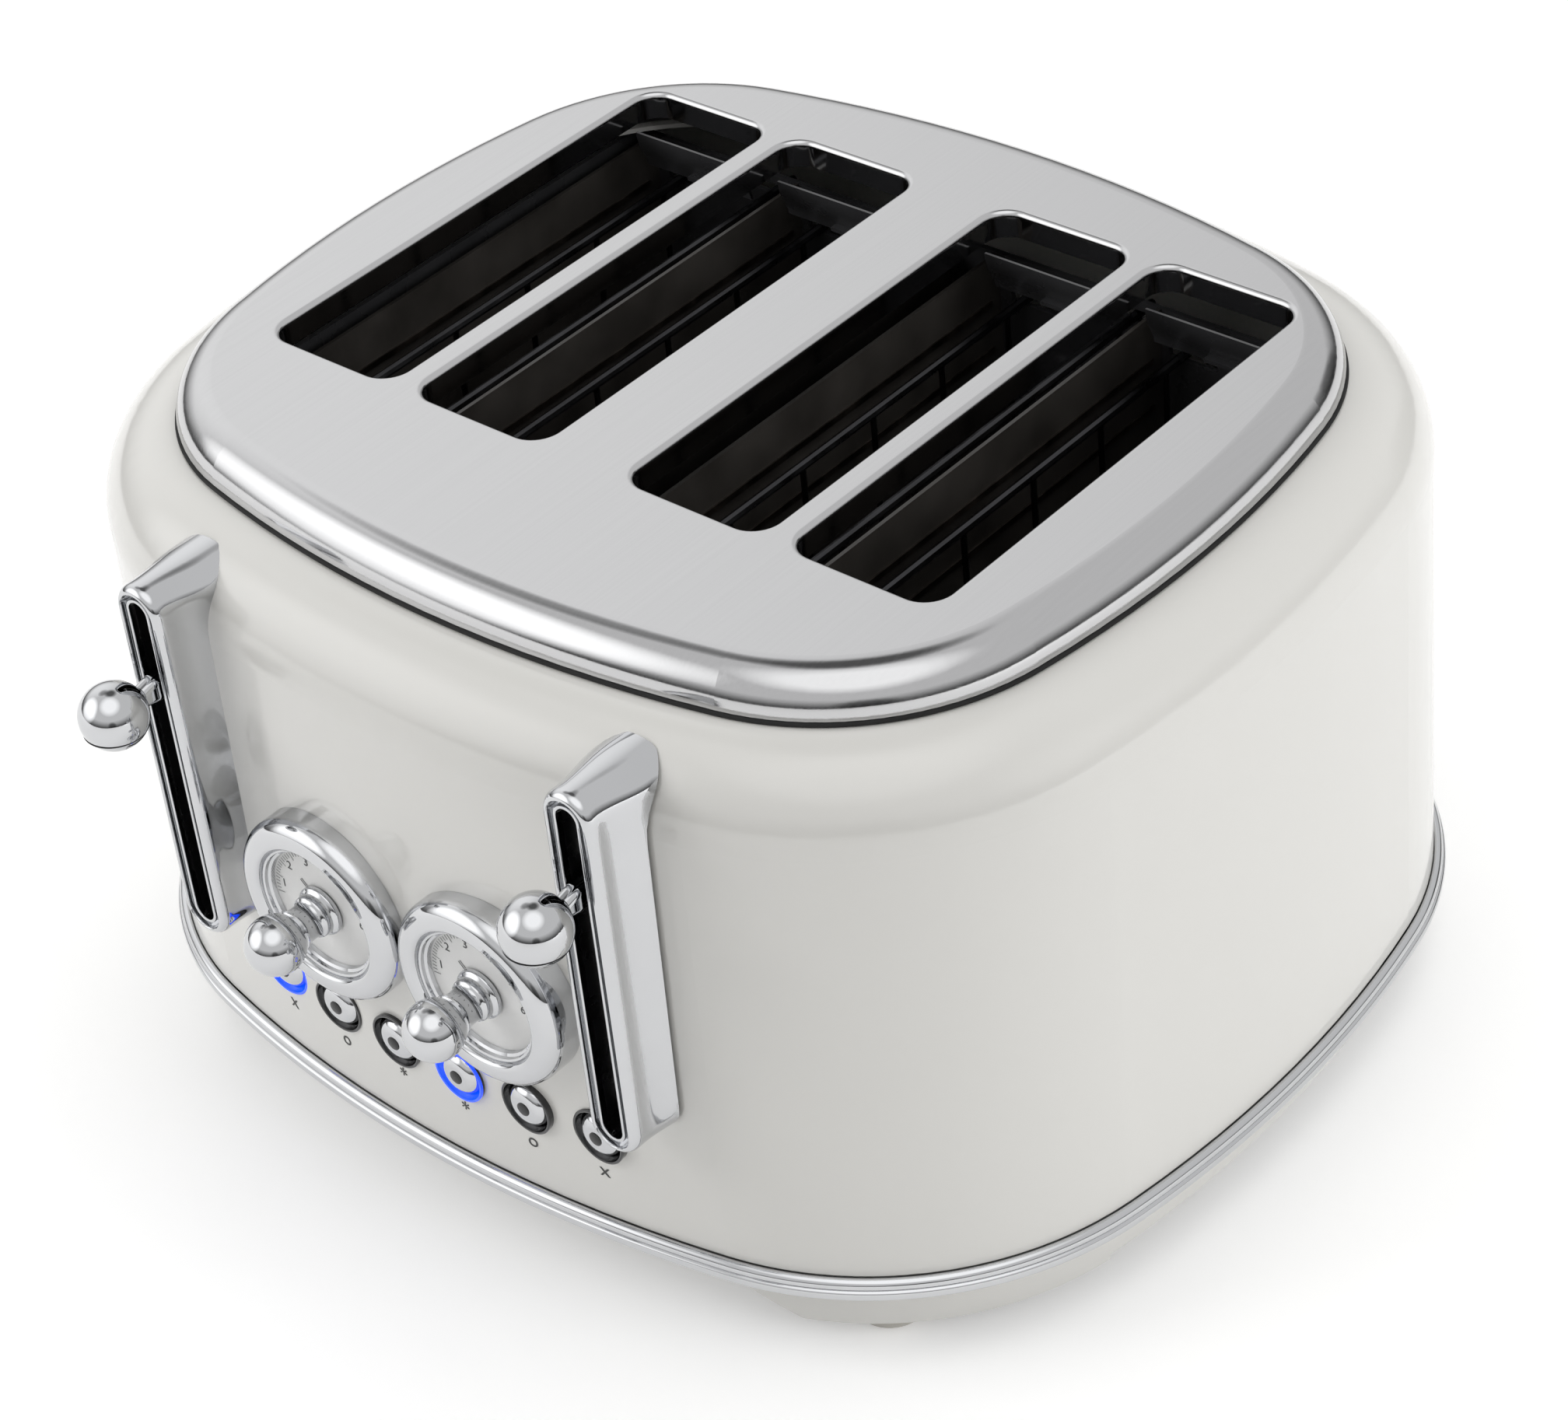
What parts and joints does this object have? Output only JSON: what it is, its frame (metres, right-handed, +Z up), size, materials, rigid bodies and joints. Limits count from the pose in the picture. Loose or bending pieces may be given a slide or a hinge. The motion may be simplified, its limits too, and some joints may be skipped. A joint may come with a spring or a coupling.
{
  "type": "pop up toaster",
  "caption": "Rounded pop-up toaster with wide bread slots under a steel cap, front levers with ball knobs, browning dials and push buttons.",
  "frame": {"origin": "centre of the footprint on the table, lever knobs included", "axes": "+Z up, the controls face -Y, +X to the user's right as they face the controls"},
  "size_m": [0.306, 0.2952, 0.1745],
  "materials": {
    "cream_paint": "gloss",
    "cream_plastic": "gloss",
    "steel": "brushed",
    "chrome": "polished",
    "chrome_arm": "polished",
    "dark_plastic": "matte",
    "rubber": "matte",
    "zinc": "plated",
    "dark_sheet": "sooted",
    "ribbon": "oxidised",
    "mica": "matte",
    "wire": "plated",
    "glow": "translucent",
    "board": "matte",
    "pale_face": "satin"
  },
  "bodies": {
    "housing": {"body_shell": "cream_paint", "top_cap": "steel", "seam_gasket": "dark_plastic", "trim_ring": "chrome", "base_pan": "cream_plastic", "feet": "rubber", "base_screws": "zinc", "front_plate": "dark_sheet", "rear_plate": "dark_sheet", "heater_ribbons": "ribbon", "button_rings": "chrome", "glow_rings": "glow", "control_board": "board", "cord_inlet": "dark_plastic", "heater_board_left_1": "mica", "heater_board_left_2": "mica", "heater_board_left_3": "mica", "heater_board_right_1": "mica", "heater_board_right_2": "mica", "heater_board_right_3": "mica", "side_shield_left": "dark_sheet", "guide_rod_left": "zinc", "return_spring_left": "zinc", "magnet_left": "zinc", "lever_bezel_left": "chrome", "dial_bezel_left": "chrome", "dial_face_left": "pale_face", "potentiometer_left": "dark_plastic", "side_shield_right": "dark_sheet", "guide_rod_right": "zinc", "return_spring_right": "zinc", "magnet_right": "zinc", "lever_bezel_right": "chrome", "dial_bezel_right": "chrome", "dial_face_right": "pale_face", "potentiometer_right": "dark_plastic"},
    "carriage_left": {"carriage_left": "chrome_arm", "lever_knob_left": "chrome", "bread_rack_left": "wire", "keeper_left": "zinc"},
    "guards_left_a": {"guards_left_a": "wire"},
    "guards_left_b": {"guards_left_b": "wire"},
    "dial_left": {"dial_knob_left": "chrome"},
    "tray_left": {"crumb_tray_left": "steel"},
    "carriage_right": {"carriage_right": "chrome_arm", "lever_knob_right": "chrome", "bread_rack_right": "wire", "keeper_right": "zinc"},
    "guards_right_a": {"guards_right_a": "wire"},
    "guards_right_b": {"guards_right_b": "wire"},
    "dial_right": {"dial_knob_right": "chrome"},
    "tray_right": {"crumb_tray_right": "steel"},
    "button_1": {"button_1": "chrome"},
    "button_2": {"button_2": "chrome"},
    "button_3": {"button_3": "chrome"},
    "button_4": {"button_4": "chrome"},
    "button_5": {"button_5": "chrome"},
    "button_6": {"button_6": "chrome"}
  },
  "joints": [
    {"name": "carriage_left_slide", "type": "slide", "parent": "housing", "child": "carriage_left", "axis": [0, 0, 1], "range_m": [-0.0625, 0.018], "stiffness_N_per_m": 200, "springref_m": 0.0074, "deforming": ["return_spring_left"]},
    {"name": "guards_left_a_slide", "type": "slide", "parent": "housing", "child": "guards_left_a", "axis": [1, 0, 0], "range_m": [-0.0024, 0.0081]},
    {"name": "guards_left_b_slide", "type": "slide", "parent": "housing", "child": "guards_left_b", "axis": [1, 0, 0], "range_m": [-0.0081, 0.0024]},
    {"name": "dial_left_turn", "type": "hinge", "parent": "housing", "child": "dial_left", "pos_m": [-0.0252, -0.13, 0.0845], "axis": [0, 1, 0], "range_deg": [-135, 135]},
    {"name": "tray_left_slide", "type": "slide", "parent": "housing", "child": "tray_left", "axis": [0, 1, 0], "range_m": [0, 0.15]},
    {"name": "carriage_right_slide", "type": "slide", "parent": "housing", "child": "carriage_right", "axis": [0, 0, 1], "range_m": [-0.0625, 0.018], "stiffness_N_per_m": 200, "springref_m": 0.0074, "deforming": ["return_spring_right"]},
    {"name": "guards_right_a_slide", "type": "slide", "parent": "housing", "child": "guards_right_a", "axis": [1, 0, 0], "range_m": [-0.0024, 0.0081]},
    {"name": "guards_right_b_slide", "type": "slide", "parent": "housing", "child": "guards_right_b", "axis": [1, 0, 0], "range_m": [-0.0081, 0.0024]},
    {"name": "dial_right_turn", "type": "hinge", "parent": "housing", "child": "dial_right", "pos_m": [0.0252, -0.13, 0.0845], "axis": [0, 1, 0], "range_deg": [-135, 135]},
    {"name": "tray_right_slide", "type": "slide", "parent": "housing", "child": "tray_right", "axis": [0, 1, 0], "range_m": [0, 0.15]},
    {"name": "button_1_press", "type": "slide", "parent": "housing", "child": "button_1", "axis": [0, 1, 0], "range_m": [0, 0.002], "stiffness_N_per_m": 300, "springref_m": -0.001},
    {"name": "button_2_press", "type": "slide", "parent": "housing", "child": "button_2", "axis": [0, 1, 0], "range_m": [0, 0.002], "stiffness_N_per_m": 300, "springref_m": -0.001},
    {"name": "button_3_press", "type": "slide", "parent": "housing", "child": "button_3", "axis": [0, 1, 0], "range_m": [0, 0.002], "stiffness_N_per_m": 300, "springref_m": -0.001},
    {"name": "button_4_press", "type": "slide", "parent": "housing", "child": "button_4", "axis": [0, 1, 0], "range_m": [0, 0.002], "stiffness_N_per_m": 300, "springref_m": -0.001},
    {"name": "button_5_press", "type": "slide", "parent": "housing", "child": "button_5", "axis": [0, 1, 0], "range_m": [0, 0.002], "stiffness_N_per_m": 300, "springref_m": -0.001},
    {"name": "button_6_press", "type": "slide", "parent": "housing", "child": "button_6", "axis": [0, 1, 0], "range_m": [0, 0.002], "stiffness_N_per_m": 300, "springref_m": -0.001}
  ],
  "couplings": [
    {"joint": "guards_left_a_slide", "follows": "carriage_left_slide", "ratio": -0.128},
    {"joint": "guards_left_b_slide", "follows": "carriage_left_slide", "ratio": 0.128},
    {"joint": "guards_right_a_slide", "follows": "carriage_right_slide", "ratio": -0.128},
    {"joint": "guards_right_b_slide", "follows": "carriage_right_slide", "ratio": 0.128}
  ]
}
